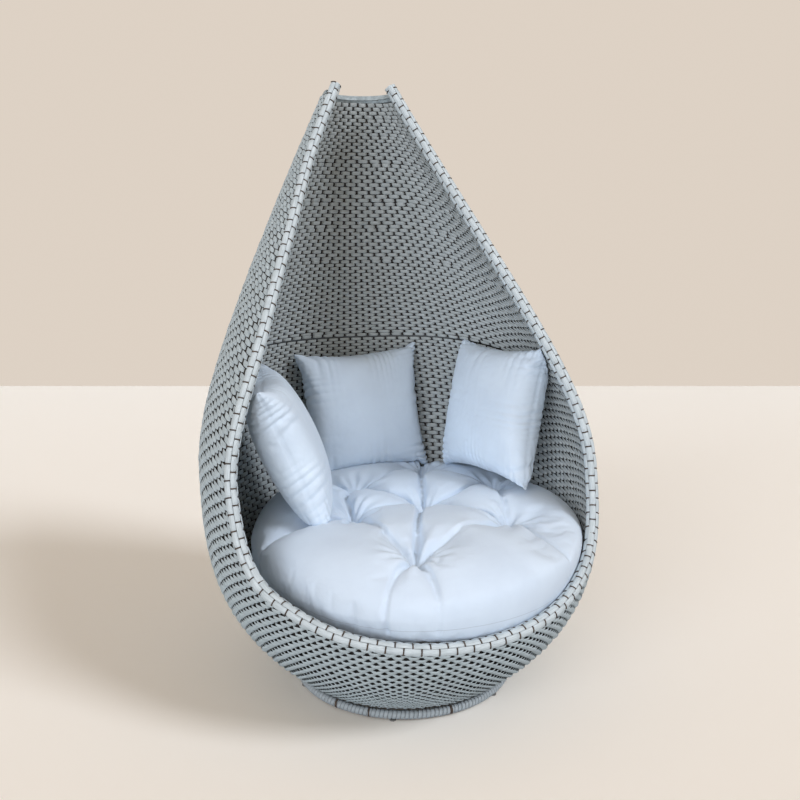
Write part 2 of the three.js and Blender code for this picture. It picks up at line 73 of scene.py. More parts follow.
def addNode(tree, kind, settings=None, links=None):  # a link's source is a socket, or a node's shown output
    node = tree.nodes.new(kind)
    for key, value in (settings or {}).items():
        if isinstance(key, str) and hasattr(node, key):
            setattr(node, key, value)
        else:
            node.inputs[key].default_value = value
    for key, source in (links or {}).items():
        if isinstance(source, bpy.types.Node):
            source = next(socket for socket in source.outputs if socket.enabled)
        tree.links.new(source, node.inputs[key])
    return node


def newMaterial(name, colour, roughness, sheen=0.0):
    material = bpy.data.materials.new(name)
    material.use_nodes = True
    tree = material.node_tree
    shader = tree.nodes["Principled BSDF"]
    shader.inputs["Base Color"].default_value = linear(colour)
    shader.inputs["Roughness"].default_value = roughness
    shader.inputs["Metallic"].default_value = 0.0
    shader.inputs["IOR"].default_value = 1.5
    shader.inputs["Sheen Weight"].default_value = sheen
    return material, tree, shader


def paintLayers(tree, shader, layers):
    # each layer: pattern, where it begins and ends, the colour's share there, the colour laid over the last
    ground = shader.inputs["Base Color"]
    for pattern, begin, end, first, last, colour in layers:
        share = addNode(tree, "ShaderNodeMapRange",
                        {"From Min": begin, "From Max": end, "To Min": first, "To Max": last},
                        {"Value": pattern})
        mix = addNode(tree, "ShaderNodeMix", {"data_type": "RGBA", 7: linear(colour)}, {0: share})
        if ground.is_linked:
            tree.links.new(ground.links[0].from_socket, mix.inputs[6])
        else:
            mix.inputs[6].default_value = ground.default_value
        tree.links.new(mix.outputs[2], ground)


# The shell's outline, the same as the solid's

shell = {
    "dropHeight": 2.0,
    "bellyRadius": 0.657,
    "bellyHeight": 0.72,
    "footRadius": 0.362,
    "footHeight": 0.042,
    "crownRadius": 0.114,
    "crownSetback": 0.515,
    "bowlPower": 3.0,
    "shoulder": 0.23,
    "setbackPower": 2.6,
    "setbackShare": 0.93,
    "wall": 0.0379,  # thickness, skin to skin
    "frontRimHeight": 0.3353,
    "hornHeight": 1.9747,
    "hornAngle": 1.25,
    "topEdge": 1.943,
    "seam": 1.056,
    "deck": 0.336,
    "pressRows": (0.1, 1.9),  # heights between which soft pieces are kept off the wall
    "centreY": middle("base_ring").y,
}

rimShares = np.array([
    [0, 0], [0.02, 0.076], [0.05, 0.16], [0.089, 0.254], [0.141, 0.309], [0.243, 0.371],
    [0.364, 0.433], [0.475, 0.505], [0.576, 0.603], [0.707, 0.74], [0.859, 0.898], [1, 1],
])


def podRadius(z):
    low = np.clip((shell["bellyHeight"] - z) / (shell["bellyHeight"] - shell["footHeight"]), 0, None)
    climb = np.clip((z - shell["bellyHeight"]) / (shell["dropHeight"] - shell["bellyHeight"]), 0, None)
    bend = np.hypot(climb, shell["shoulder"]) - shell["shoulder"]
    full = math.hypot(1, shell["shoulder"]) - shell["shoulder"]
    below = (shell["bellyRadius"] - shell["footRadius"]) * low ** shell["bowlPower"]
    above = (shell["bellyRadius"] - shell["crownRadius"]) * bend / full
    return shell["bellyRadius"] - below - above


def podSetback(z):
    share = np.clip(z / shell["dropHeight"], 0, None)
    lean = share ** shell["setbackPower"]
    return shell["crownSetback"] * lean / (lean + shell["setbackShare"] * (1 - share))


def shellNormal(z, angle):
    step = 0.001
    radiusSlope = (podRadius(z + step) - podRadius(z - step)) / (2 * step)
    setbackSlope = (podSetback(z + step) - podSetback(z - step)) / (2 * step)
    up = setbackSlope * np.cos(angle) - radiusSlope
    normal = np.stack(np.broadcast_arrays(np.sin(angle), -np.cos(angle), up), -1)
    return normal / np.linalg.norm(normal, axis=-1, keepdims=True)


def shellPoint(z, angle, depth):
    z, angle, depth = np.broadcast_arrays(z, angle, depth)
    radius = podRadius(z)
    point = np.stack([radius * np.sin(angle), podSetback(z) - radius * np.cos(angle), z], -1)
    point = point - shellNormal(z, angle) * depth[..., None]
    point[..., 1] += shell["centreY"]
    return point


def levelRow(height, angle, depth):
    row = height
    for _ in range(8):  # each round comes closer
        row += height - float(shellPoint(row, angle, depth)[2])
    return row


# The rim line: side view drawn as a spline, then laid on the middle of the wall


def splinePoints(controls, count):
    ends = [2 * controls[0] - controls[1], *controls, 2 * controls[-1] - controls[-2]]
    points = []
    for i in range(1, len(ends) - 2):
        p0, p1, p2, p3 = ends[i - 1:i + 3]
        d0, d1, d2 = (max(np.linalg.norm(b - a), 1e-9) ** 0.5 for a, b in ((p0, p1), (p1, p2), (p2, p3)))
        t1 = ((p1 - p0) / d0 - (p2 - p0) / (d0 + d1) + (p2 - p1) / d1) * d1
        t2 = ((p2 - p1) / d1 - (p3 - p1) / (d1 + d2) + (p3 - p2) / d2) * d1
        t = np.linspace(0, 1, count, endpoint=False)[:, None]
        points.append((2 * t ** 3 - 3 * t ** 2 + 1) * p1 + (t ** 3 - 2 * t ** 2 + t) * t1
                      + (3 * t ** 2 - 2 * t ** 3) * p2 + (t ** 3 - t ** 2) * t2)
    return np.vstack([*points, controls[-1:]])


def rimLine():
    half = shell["wall"] / 2
    front = shellPoint(shell["frontRimHeight"], 0.0, half)
    hornRow = levelRow(shell["hornHeight"], shell["hornAngle"], half)
    horn = shellPoint(hornRow, shell["hornAngle"], half)
    controls = np.stack([
        front[1] + (horn[1] - front[1]) * rimShares[:, 1],
        front[2] + (horn[2] - front[2]) * rimShares[:, 0],
    ], 1)
    line = splinePoints(controls, 60)
    line = line[np.r_[True, np.linalg.norm(np.diff(line, axis=0), axis=1) > 1e-5]]  # no double points
    aimY, aimZ = line[:, 0].copy(), line[:, 1].copy()
    for _ in range(14):  # each round comes closer
        share = (podSetback(aimZ) + shell["centreY"] - aimY) / podRadius(aimZ)
        angle = np.arccos(np.clip(share, -1, 1))
        place = shellPoint(aimZ, angle, half)
        aimY += line[:, 0] - place[:, 1]
        aimZ += line[:, 1] - place[:, 2]
    return aimZ, angle, place


rimRows, rimAngles, rimPlaces = rimLine()


def openAngle(z):
    return np.interp(z, rimRows, rimAngles, left=0.0, right=rimAngles[-1])


# Meshes from grids


def makeObject(name, verts, faces, material, uvs=None, smooth=True):
    mesh = bpy.data.meshes.new(name)
    verts = np.asarray(verts, np.float32).reshape(-1, 3)
    faces = np.asarray(faces, np.int32)
    mesh.vertices.add(len(verts))
    mesh.vertices.foreach_set("co", verts.ravel())
    mesh.loops.add(faces.size)
    mesh.loops.foreach_set("vertex_index", faces.ravel())
    mesh.polygons.add(len(faces))
    mesh.polygons.foreach_set("loop_start", np.arange(0, faces.size, faces.shape[1], dtype=np.int32))
    mesh.update(calc_edges=True)
    mesh.validate()
    if uvs is not None:
        layer = mesh.uv_layers.new(name="strip")
        index = np.zeros(len(mesh.loops), np.int32)
        mesh.loops.foreach_get("vertex_index", index)
        layer.data.foreach_set("uv", np.asarray(uvs, np.float32).reshape(-1, 2)[index].ravel())
    if smooth:
        mesh.polygons.foreach_set("use_smooth", [True] * len(mesh.polygons))
    piece = bpy.data.objects.new(name, mesh)
    scene.collection.objects.link(piece)
    mesh.materials.append(material)
    return piece


def gridFaces(rowCount, columnCount, closeRows=False, closeColumns=False):
    i = np.arange(rowCount if closeRows else rowCount - 1)[:, None]
    j = np.arange(columnCount if closeColumns else columnCount - 1)[None, :]
    nextI = (i + 1) % rowCount
    nextJ = (j + 1) % columnCount
    here, after = i * columnCount, nextI * columnCount
    return np.stack(np.broadcast_arrays(here + j, here + nextJ, after + nextJ, after + j), -1).reshape(-1, 4)


def joinSheets(name, sheets, material, uvs=None):
    starts = np.cumsum([0] + [verts.size // 3 for verts, _ in sheets])
    verts = np.vstack([verts.reshape(-1, 3) for verts, _ in sheets])
    faces = np.vstack([faces + start for (_, faces), start in zip(sheets, starts)])
    return makeObject(name, verts, faces, material, uvs)


# Woven strips

weave = {
    "pitch": {  # height, row to row
        1: np.array([[0.044, 0.0145], [0.32, 0.0156], [0.55, 0.0188], [0.90, 0.0188], [1.95, 0.0150]]),
        -1: np.array([[0.336, 0.0128], [1.12, 0.0125], [1.30, 0.0155], [1.55, 0.0175], [1.95, 0.0160]]),
    },
    "brick": {  # height, length over one stake and under the next
        1: np.array([[0.80, 0.0485], [1.90, 0.0300]]),
        -1: np.array([[1.06, 0.0560], [1.12, 0.0580], [1.30, 0.0520], [1.55, 0.0560], [1.90, 0.0450]]),
    },
    "tilt": 0.33,  # rows climb towards the back
    "tiltRows": (0.25, 0.85, 1.70, 1.943),  # the tilt comes in, is full, goes again
    "backTilt": 0.6,
    "stake": 0.0066,
    "stakeStep": 0.03,
    "mostBricks": 104,
    "zoneShare": 0.84,  # bricks round a zone, as a share of the zone below
    "zones": 12,
    "jitter": 0.00045,
    "wobble": 0.048,  # of the pitch
    "wobbles": 9,  # round one row
    "overrun": 0.002,  # how far the last row may pass the skin's end
    "inset": 0.002,  # the strips' middle lies this deep in the wall
    "seamGap": 0.003,  # half the gap between the two linings
    "rimMargin": 0.002,  # the stakes stop this much of a radian short of the rim
    "toneShift": 0.37,  # keeps the tones of neighbouring rows apart
    "seed": 7,
}
patternShare = 0.9  # a strip's share of its own row in the pattern
brickShares = np.array([  # place along one brick, height from dip to crown, and width
    [0.00, -1.00, 0.50], [0.080, -0.60, 0.66], [0.14, 0.40, 0.90], [0.24, 0.90, 0.99],
    [0.50, 1.00, 1.00], [0.76, 0.90, 0.99], [0.86, 0.40, 0.90], [0.920, -0.60, 0.66],
])
acrossShares = np.array([-0.5, -0.25, 0.25, 0.5])
brickForms = {
    "bowl": {
        "width": 1.01,  # over the pitch
        "roundness": 0.90,  # 0 keeps the shares above, 1 is a plain wave
        "dip": 0.0042,
        "crown": 0.0036,
        "taper": 0.40,  # how much a brick narrows to its ends
        "arch": 0.0022,
        "gap": 1.0,
        "crest": 0.0058,  # of the stakes, from the strips' middle
        "root": 0.0120,
    },
    "outer": {
        "width": 0.98, "roundness": 0.10, "dip": 0.0080, "crown": 0.0018, "taper": 1.0, "arch": 0.0014,
        "gap": 1.75, "crest": 0.0004, "root": 0.0092,
    },
    "lining": {
        "width": 0.97, "roundness": 0.15, "dip": 0.0076, "crown": 0.0018, "taper": 0.9, "arch": 0.0016,
        "gap": 1.25, "crest": 0.0004, "root": 0.0088,
    },
}
bowlRows = (0.20, 0.52)  # the bowl's bricks turn into the sides' between these
ridgeShares = np.array([  # across a stake, and deep
    [-0.62, 1.0], [-0.5, 0.40], [0.0, 0.0], [0.5, 0.40], [0.62, 1.0],
])


def eased(value, low, high):
    share = np.clip((value - low) / (high - low), 0, 1)
    return share * share * (3 - 2 * share)


def tilted(row, angle):
    into, full, leave, gone = weave["tiltRows"]
    tilt = weave["tilt"] * eased(row, into, full) * (1 - eased(row, leave, gone))
    ahead = np.cos(angle)
    return row - tilt * podRadius(row) * np.where(ahead > 0, ahead, ahead * (1 + weave["backTilt"] * ahead))


def brickForm(row, facing):
    if facing < 0:
        return brickForms["lining"]
    share = float(eased(row, *bowlRows))
    bowl, outer = brickForms["bowl"], brickForms["outer"]
    return {key: bowl[key] * (1 - share) + outer[key] * share for key in bowl}


def weaveRows(start, end, facing):
    rows = []
    step = 0.005
    z = start
    while z < end:
        pitch = np.interp(z, *weave["pitch"][facing].T)
        slope = float(podRadius(z + step) - podRadius(z - step)) / (2 * step)
        rise = pitch / math.hypot(1, slope)
        if z + rise > end + weave["overrun"]:
            break
        rows.append((z + rise / 2, rise))
        z += rise
    stretch = (end - start) / (z - start)
    return [(start + (row - start) * stretch, rise * stretch) for row, rise in rows]


def bricksAround(z, facing):  # below the belly the stakes run on, so their number stays
    brick = np.interp(z, *weave["brick"][facing].T)
    wanted = 2 * math.pi * float(podRadius(max(z, shell["bellyHeight"]))) / brick
    zones = [weave["mostBricks"] * weave["zoneShare"] ** k for k in range(weave["zones"])]
    return int(round(min(zones, key=lambda count: abs(math.log(count / wanted)))))


def wrappedTurn(angle):
    angle = np.where(angle > math.pi, angle - 2 * math.pi, angle)
    return np.where(angle < -math.pi, angle + 2 * math.pi, angle)


def cutAtRim(rows, angle, margin=0.0):  # what would stand in the opening is drawn onto the rim, or left out
    opening = openAngle(rows) + margin
    hidden = (abs(angle) < opening).ravel()
    faces = gridFaces(*opening.shape)
    return np.where(angle < 0, -1, 1) * np.maximum(abs(angle), opening), faces[~hidden[faces].all(1)]


def wovenSkin(name, low, high, depth, facing, material, firstRow):
    rng = np.random.default_rng(weave["seed"] + int(low * 1000))
    sheets, uvs, zones = [], [], []
    for index, (z, rise) in enumerate(weaveRows(low, high, facing), firstRow):
        bricks = bricksAround(z, facing)
        if not zones or zones[-1][0] != bricks:
            zones.append([bricks, z - rise / 2, z + rise / 2])
        zones[-1][2] = z + rise / 2
        form = brickForm(z, facing)
        place, height, width = (np.append(np.tile(column, bricks), column[0]) for column in brickShares.T)
        width = 1 - (1 - width) * form["taper"]
        near = np.minimum(place, 1 - place)
        place += np.sign(0.5 - place) * near * (form["gap"] - 1) * (1 - 2 * near)
        number = np.arange(len(place)) // len(brickShares)
        waved = (1 - form["roundness"]) * height - form["roundness"] * np.cos(2 * math.pi * place)
        lift = np.where(waved < 0, form["dip"], form["crown"]) * waved
        jitter = rng.normal(0, weave["jitter"], bricks)
        lift += np.append(np.repeat(jitter, len(brickShares)), jitter[0])
        angle = 2 * math.pi * (number + place + 0.5 * (index % 2)) / bricks - math.pi  # closes at the back
        wobble = weave["wobble"] * rise * np.sin(weave["wobbles"] * angle + rng.uniform(0, 6))
        rowZ = z + acrossShares[None, :] * (rise * form["width"] * width)[:, None] + wobble[:, None]
        arch = form["arch"] * (1 - (2 * acrossShares[None, :]) ** 2)
        wrapped = wrappedTurn(angle)[:, None]
        rowZ = tilted(rowZ, wrapped)
        turned, faces = cutAtRim(rowZ, wrapped)
        verts = shellPoint(rowZ, turned, depth - facing * (lift[:, None] + arch))
        sheets.append((verts, faces[:, ::-facing]))
        length = angle[:, None] * podRadius(z) + index * weave["toneShift"]
        across = index + (acrossShares[None, :] + 0.5) * patternShare
        uvs.append(np.stack(np.broadcast_arrays(length, across), -1).reshape(-1, 2))
    piece = joinSheets(name, sheets, material, np.vstack(uvs))
    return piece, wovenStakesAndShade(name + "_stakes", zones, depth, facing), index + 1


def wovenStakesAndShade(name, zones, depth, facing):
    # ridges of one sheet, which also stands for the strips' hidden backs, so no light gets through; its
    # near-black is the stakes' own dark umber and painted shade where those backs show in the gaps
    sheets = []
    for bricks, low, high in zones:
        heights = np.linspace(low, high, max(3, int((high - low) / weave["stakeStep"])))[:, None]
        middles = math.pi * np.arange(2 * bricks) / bricks - math.pi
        radius = float(podRadius(heights.mean()))
        forms = [brickForm(float(row), facing) for row in heights[:, 0]]
        gap, crest, root = (np.array([form[key] for form in forms]) for key in ("gap", "crest", "root"))
        halfWidth = weave["stake"] * gap.mean() / radius
        angle = (middles[:, None] + ridgeShares[:, 0] * halfWidth).ravel()
        angle = np.append(angle, angle[0] + 2 * math.pi)
        lift = np.append(np.tile(ridgeShares[:, 1], 2 * bricks), ridgeShares[0, 1])[None, :]
        lift = crest[:, None] + (root - crest)[:, None] * lift
        wrapped = wrappedTurn(angle)[None, :]
        heights = tilted(heights, wrapped)
        turned, faces = cutAtRim(heights, wrapped, weave["rimMargin"])
        verts = shellPoint(heights, turned, depth + facing * lift)
        sheets.append((verts, faces[:, ::facing]))
    return joinSheets(name, sheets, stakeAndShadeResin)


# Poly rattan: extruded polyethylene strip, satin, with fine darker drawing lines along it, a tone of its own
# for each brick, and dusty patches


resinMarks = {  # mm
    "brick": 47.619,  # each has its own tone
    "lineLength": 33.3333,
    "linesPerRow": 9.0,  # a count, 2 mm from line to line
    "dustPatch": 322.6,
    "mottle": 16.667,
}


def resinStrip(name, colour, shade, grime, seamShadowShare=0.0):
    material, tree, shader = newMaterial(name, colour, 0.5)
    spot = addNode(tree, "ShaderNodeTexCoord")
    parts = addNode(tree, "ShaderNodeSeparateXYZ", links={"Vector": spot.outputs["UV"]})
    row = addNode(tree, "ShaderNodeMath", {"operation": "FLOOR"}, {0: parts.outputs["Y"]})
    place = addNode(tree, "ShaderNodeCombineXYZ", links={"X": parts.outputs["X"], "Y": row})
    tone = addNode(tree, "ShaderNodeTexNoise", {"Scale": perMetre(resinMarks["brick"]), "Detail": 1.0},
                   {"Vector": place})
    lines = (perMetre(resinMarks["lineLength"]), resinMarks["linesPerRow"], 1.0)
    stretched = addNode(tree, "ShaderNodeMapping", {"Scale": lines}, {"Vector": spot.outputs["UV"]})
    grain = addNode(tree, "ShaderNodeTexNoise", {"Scale": 1.0, "Detail": 4.0, "Roughness": 0.62},
                    {"Vector": stretched})
    dust = addNode(tree, "ShaderNodeTexNoise", {"Scale": perMetre(resinMarks["dustPatch"]), "Detail": 3.0},
                   {"Vector": spot.outputs["Object"]})
    layers = [
        (tone, 0.3, 0.7, 1.0, 0.0, shade),
        (grain, 0.34, 0.60, 0.55, 0.0, grime),
        (dust, 0.42, 0.75, 0.0, 0.25, shade),
    ]
    # painted shadow: a near-black line in the groove where one turn of the strip meets the next
    if seamShadowShare:  # shadow line where one turn of the strip meets the next
        fold = addNode(tree, "ShaderNodeMath", {"operation": "PINGPONG", 1: 0.5}, {0: parts.outputs["Y"]})
        layers.append((fold, 0.0, seamShadowShare, 0.85, 0.0, "#2b2a2b"))
    paintLayers(tree, shader, layers)
    worn = addNode(tree, "ShaderNodeMapRange",
                   {"From Min": 0.3, "From Max": 0.7, "To Min": 0.42, "To Max": 0.62}, {"Value": grain})
    bump = addNode(tree, "ShaderNodeBump", {"Strength": 0.5, "Distance": 0.0006}, {"Height": grain})
    tree.links.new(worn.outputs[0], shader.inputs["Roughness"])
    tree.links.new(bump.outputs[0], shader.inputs["Normal"])
    return material


def darkResin(name, colour, lighter):
    material, tree, shader = newMaterial(name, colour, 0.6)
    spot = addNode(tree, "ShaderNodeTexCoord").outputs["Object"]
    mottle = addNode(tree, "ShaderNodeTexNoise", {"Scale": perMetre(resinMarks["mottle"]), "Detail": 3.0},
                     {"Vector": spot})
    paintLayers(tree, shader, [(mottle, 0.4, 0.65, 0.0, 1.0, lighter)])
    return material


outerResin = resinStrip("polyRattanBlueGrey", "#c9d6da", "#b3c0c5", "#8b979c")
# the linings' strips are the outside's poly rattan, painted darker and greyer with the shade inside the pod
innerResinPaintedShade = resinStrip("polyRattanInnerPaintedShade", "#c2c8c7", "#acb2b1", "#868d90")
rimResin = resinStrip("polyRattanRimGrey", "#d6e0e4", "#c2cdd1", "#99a5aa")
windResin = resinStrip("polyRattanWoundGrey", "#bcc5ca", "#a3adb2", "#7d868b", seamShadowShare=0.13)
# near-black: the stakes' own dark umber, and painted shade for the strips' backs seen in the gaps between
# bricks
stakeAndShadeResin = darkResin("rattanStakeUmberPaintedShade", "#211e1c", "#332e2b")
tieResin = darkResin("rattanTieDarkBrown", "#3d3229", "#58493d")
barResin = darkResin("polyRattanBarGrey", "#aab6ba", "#909ca0")

seamRow = shell["seam"]
for _ in range(8):  # the row that meets the seam at the middle of the back
    seamRow += shell["seam"] - float(tilted(seamRow, math.pi))

skins = [  # piece, node, from, to, side
    ("outer_weave_bowl", "outer_weave", 0.044, 0.50, 1),
    ("outer_weave_belly", "outer_weave", 0.50, 1.10, 1),
    ("outer_weave_hood", "outer_weave", 1.10, shell["topEdge"], 1),
    ("seat_back_weave", "seat_back_lining", shell["deck"], seamRow - weave["seamGap"], -1),
    ("hood_weave", "hood_lining", seamRow + weave["seamGap"], shell["topEdge"], -1),
]
nextRow = {1: 0, -1: 0}  # the brick stagger runs on from skin to skin
for pieceName, node, low, high, facing in skins:
    report("weaving " + pieceName)
    depth = weave["inset"] if facing > 0 else shell["wall"] - weave["inset"]
    # the linings take the resin copy with painted shade
    resin = outerResin if facing > 0 else innerResinPaintedShade
    skin, stakes, nextRow[facing] = wovenSkin(pieceName, low, high, depth, facing, resin, nextRow[facing])
    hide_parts(node)
    for piece in (skin, stakes):
        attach(piece, "shell")

# Rim: three strips laid along it, dipping under dark cross ties in turn

rimWrap = {
    "radius": shell["wall"] / 2,
    "names": ("rim_strip_outer", "rim_strip_edge", "rim_strip_inner"),
    "nodes": ("rim_strand_outer", "rim_strand_edge", "rim_strand_inner"),
    "spread": math.pi / 3,  # radians of the rim's round from strip to strip
    "stripTurn": 0.98,  # radians that one strip covers
    "across": np.linspace(-0.5, 0.5, 6),
    "proud": 0.0012,
    "dip": 0.0036,
    "besideDip": 0.0006,
    "arch": 0.0014,
    "perBrick": 8,  # marks from tie to tie along one strip
    "toneShift": 0.4,
    "tieSpacing": 0.0245,
    "tieHeight": 0.0026,
    "tieWidth": 0.0044,
    "tieTurn": np.linspace(-0.54, 0.54, 7),  # radians, a little more than the strip
    "tieSides": 5,
}


def rimFrames():
    places = np.vstack([rimPlaces[:0:-1] * [-1, 1, 1], rimPlaces])
    angles = np.concatenate([-rimAngles[:0:-1], rimAngles])
    rows = np.concatenate([rimRows[:0:-1], rimRows])
    lengths = np.r_[0, np.cumsum(np.linalg.norm(np.diff(places, axis=0), axis=1))]
    count = int(round(lengths[-1] * rimWrap["perBrick"] / (2 * rimWrap["tieSpacing"])))
    marks = np.linspace(0, lengths[-1], count + 1)
    angle = np.interp(marks, lengths, angles)
    row = np.interp(marks, lengths, rows)
    point = np.stack([np.interp(marks, lengths, places[:, k]) for k in range(3)], -1)
    for _ in range(3):  # rounds the bends
        point[1:-1] = point[1:-1] / 2 + (point[:-2] + point[2:]) / 4
    along = np.gradient(point, axis=0)
    along /= np.linalg.norm(along, axis=1, keepdims=True)
    out = shellNormal(row, angle)
    out -= (out * along).sum(1, keepdims=True) * along
    out /= np.linalg.norm(out, axis=1, keepdims=True)
    return point, along, out, np.cross(out, along), marks


def rimStrips():
    perBrick, across = rimWrap["perBrick"], rimWrap["across"]
    point, _, out, opened, marks = rimFrames()
    made = []
    for strip, name in enumerate(rimWrap["names"]):
        phase = (np.arange(len(marks)) + (perBrick // 2) * (strip % 2)) % perBrick
        gap = np.minimum(phase, perBrick - phase)
        dip = np.where(gap == 0, rimWrap["dip"], np.where(gap == 1, rimWrap["besideDip"], 0.0))
        turn = (1 - strip) * rimWrap["spread"] + across * rimWrap["stripTurn"]
        arch = rimWrap["arch"] * (1 - (2 * across[None, :]) ** 2)
        radius = rimWrap["radius"] + rimWrap["proud"] - dip[:, None] + arch
        radial = np.cos(turn)[None, :, None] * opened[:, None] + np.sin(turn)[None, :, None] * out[:, None]
        verts = point[:, None] + radius[..., None] * radial
        row = strip + (across[None, :] + 0.5) * patternShare
        uvs = np.stack(np.broadcast_arrays(marks[:, None] + strip * rimWrap["toneShift"], row), -1)
        faces = gridFaces(*verts.shape[:2])[:, ::-1]
        made.append(makeObject(name, verts, faces, rimResin, uvs))
    return made


def rimTies():
    point, along, out, opened, marks = rimFrames()
    section = 2 * math.pi * np.arange(rimWrap["tieSides"]) / rimWrap["tieSides"]
    radius = rimWrap["radius"] + rimWrap["tieHeight"] * np.cos(section)
    shift = rimWrap["tieWidth"] / 2 * np.sin(section)
    half = rimWrap["perBrick"] // 2
    sheets = []
    for k in range(0, len(marks), half):
        for strip in range(len(rimWrap["names"])):
            if (k // half + strip) % 2:
                continue
            turn = (1 - strip) * rimWrap["spread"] + rimWrap["tieTurn"]
            radial = np.cos(turn)[:, None] * opened[k] + np.sin(turn)[:, None] * out[k]
            verts = point[k] + radial[:, None] * radius[None, :, None] + along[k] * shift[None, :, None]
            sheets.append((verts, gridFaces(*verts.shape[:2], closeColumns=True)))
    return joinSheets("rim_ties", sheets, tieResin)


report("wrapping the rim")
for piece, node in zip(rimStrips(), rimWrap["nodes"]):
    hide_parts(node)
    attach(piece, "shell")
ties = rimTies()
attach(ties, "shell")

# Floor ring: resin strip wound round the tube, with a few dark ties

floorRing = {
    "radius": 0.357,
    "centreZ": middle("base_ring").z,
    "tube": 0.0130,
    "sides": 14,
    "wrap": 0.0130,  # strip to strip
    "perWrap": 6,
    "groove": 0.0022,
    "crown": 0.0007,
    "skew": 0.006,  # radians that a wrap leans
    "toneShift": 0.21,
    "tieProud": 0.0016,
    "tieSink": 0.0004,
    "ties": [  # radians round from the front, width
        (-0.92, 0.009), (-0.60, 0.007), (0.115, 0.012), (1.17, 0.009), (2.2, 0.012), (3.9, 0.010),
    ],
}
ringTurn = 2 * math.pi * np.arange(floorRing["sides"]) / floorRing["sides"]


def ringPoints(radius, angle):
    reach = floorRing["radius"] + radius * np.cos(ringTurn)
    points = (reach * np.sin(angle), shell["centreY"] - reach * np.cos(angle),
              floorRing["centreZ"] + radius * np.sin(ringTurn))
    return np.stack(np.broadcast_arrays(*points), -1)


def windRing():
    perWrap = floorRing["perWrap"]
    wraps = int(round(2 * math.pi * floorRing["radius"] / floorRing["wrap"]))
    k = np.arange(wraps * perWrap)[:, None]
    share = (k % perWrap) / perWrap
    crown = np.where(share == 0, -floorRing["groove"], floorRing["crown"] * np.sin(math.pi * share))
    angle = 2 * math.pi * k / len(k) + floorRing["skew"] * np.sin(ringTurn)
    verts = ringPoints(floorRing["tube"] + crown, angle)
    wrapIndex = k // perWrap
    uvs = np.stack(np.broadcast_arrays(ringTurn * floorRing["tube"] + wrapIndex * floorRing["toneShift"],
                                       wrapIndex + share * patternShare), -1)
    faces = gridFaces(*verts.shape[:2], closeRows=True, closeColumns=True)[:, ::-1]
    return makeObject("wound_floor_ring", verts, faces, windResin, uvs)


def ringTies():
    share = np.linspace(-1, 1, 7)[:, None]  # across the tie
    radius = floorRing["tube"] + floorRing["tieProud"] * np.sqrt(1 - share ** 4) - floorRing["tieSink"]
    sheets = []
    for angle, width in floorRing["ties"]:
        verts = ringPoints(radius, angle + share * width / 2 / floorRing["radius"])
        sheets.append((verts, gridFaces(*verts.shape[:2], closeColumns=True)[:, ::-1]))
    return joinSheets("floor_ring_ties", sheets, tieResin)


report("winding the floor ring")
ringPiece = windRing()
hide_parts("base_ring")
for piece in (ringPiece, ringTies()):
    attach(piece, "shell")

# Cotton: fine plain weave, matt, with a soft sheen, over soft crumples and a cloudy tone

cottonMarks = {  # mm
    "thread": 1.17647,  # about 0.4 in the real cloth, drawn coarser so that it shows
    "crumple": 41.667,
    "cloud": 166.67,
    "stitchFrom": 0.6,  # half of the stitched line's dark core, then of its whole width
    "stitchTo": 1.6,
}


def cottonCloth(name, colour, shade, seamHeight=None):
    material, tree, shader = newMaterial(name, colour, 0.85, sheen=0.2)
    shader.inputs["Sheen Roughness"].default_value = 0.5
    spot = addNode(tree, "ShaderNodeTexCoord").outputs["Object"]
    cloud = addNode(tree, "ShaderNodeTexNoise", {"Scale": perMetre(cottonMarks["cloud"]), "Detail": 4.0},
                    {"Vector": spot})
    layers = [(cloud, 0.35, 0.7, 0.0, 1.0, shade)]
    if seamHeight:  # stitched line round the side
        parts = addNode(tree, "ShaderNodeSeparateXYZ", links={"Vector": spot})
        above = addNode(tree, "ShaderNodeMath", {"operation": "SUBTRACT", 1: seamHeight},
                        {0: parts.outputs["Z"]})
        away = addNode(tree, "ShaderNodeMath", {"operation": "ABSOLUTE"}, {0: above})
        stitch = (cottonMarks["stitchFrom"] / 1000, cottonMarks["stitchTo"] / 1000)
        layers.append((away, *stitch, 0.35, 0.0, "#8d99a6"))
    paintLayers(tree, shader, layers)
    crumple = addNode(tree, "ShaderNodeTexNoise",
                      {"Scale": perMetre(cottonMarks["crumple"]), "Detail": 3.0, "Distortion": 0.8},
                      {"Vector": spot})
    folds = addNode(tree, "ShaderNodeBump", {"Strength": 0.35, "Distance": 0.004}, {"Height": crumple})
    thread = addNode(tree, "ShaderNodeTexNoise", {"Scale": perMetre(cottonMarks["thread"]), "Detail": 2.0},
                     {"Vector": spot})
    bump = addNode(tree, "ShaderNodeBump", {"Strength": 0.18, "Distance": 0.0004},
                   {"Height": thread, "Normal": folds})
    tree.links.new(bump.outputs[0], shader.inputs["Normal"])
    return material


# Padded covers: each form is swelled a little by Cloth, then sewn


def solidFrom(name, verts, faces):
    mesh = bpy.data.meshes.new(name)
    corners = [[int(k) for k in dict.fromkeys(face)] for face in faces]  # a doubled corner makes a triangle
    mesh.from_pydata([tuple(v) for v in verts], [], corners)
    mesh.validate()
    piece = bpy.data.objects.new(name, mesh)
    scene.collection.objects.link(piece)
    return piece


def spotsOf(piece, what="co"):
    spots = np.zeros(len(piece.data.vertices) * 3, np.float32)
    piece.data.vertices.foreach_get(what, spots)
    return spots.reshape(-1, 3).astype(float)


def moveSpots(piece, spots):
    piece.data.vertices.foreach_set("co", spots.astype(np.float32).ravel())
    piece.data.update()


def applyModifiers(piece):
    graph = bpy.context.evaluated_depsgraph_get()
    shaped = bpy.data.meshes.new_from_object(piece.evaluated_get(graph))
    piece.modifiers.clear()
    piece.vertex_groups.clear()
    piece.data = shaped


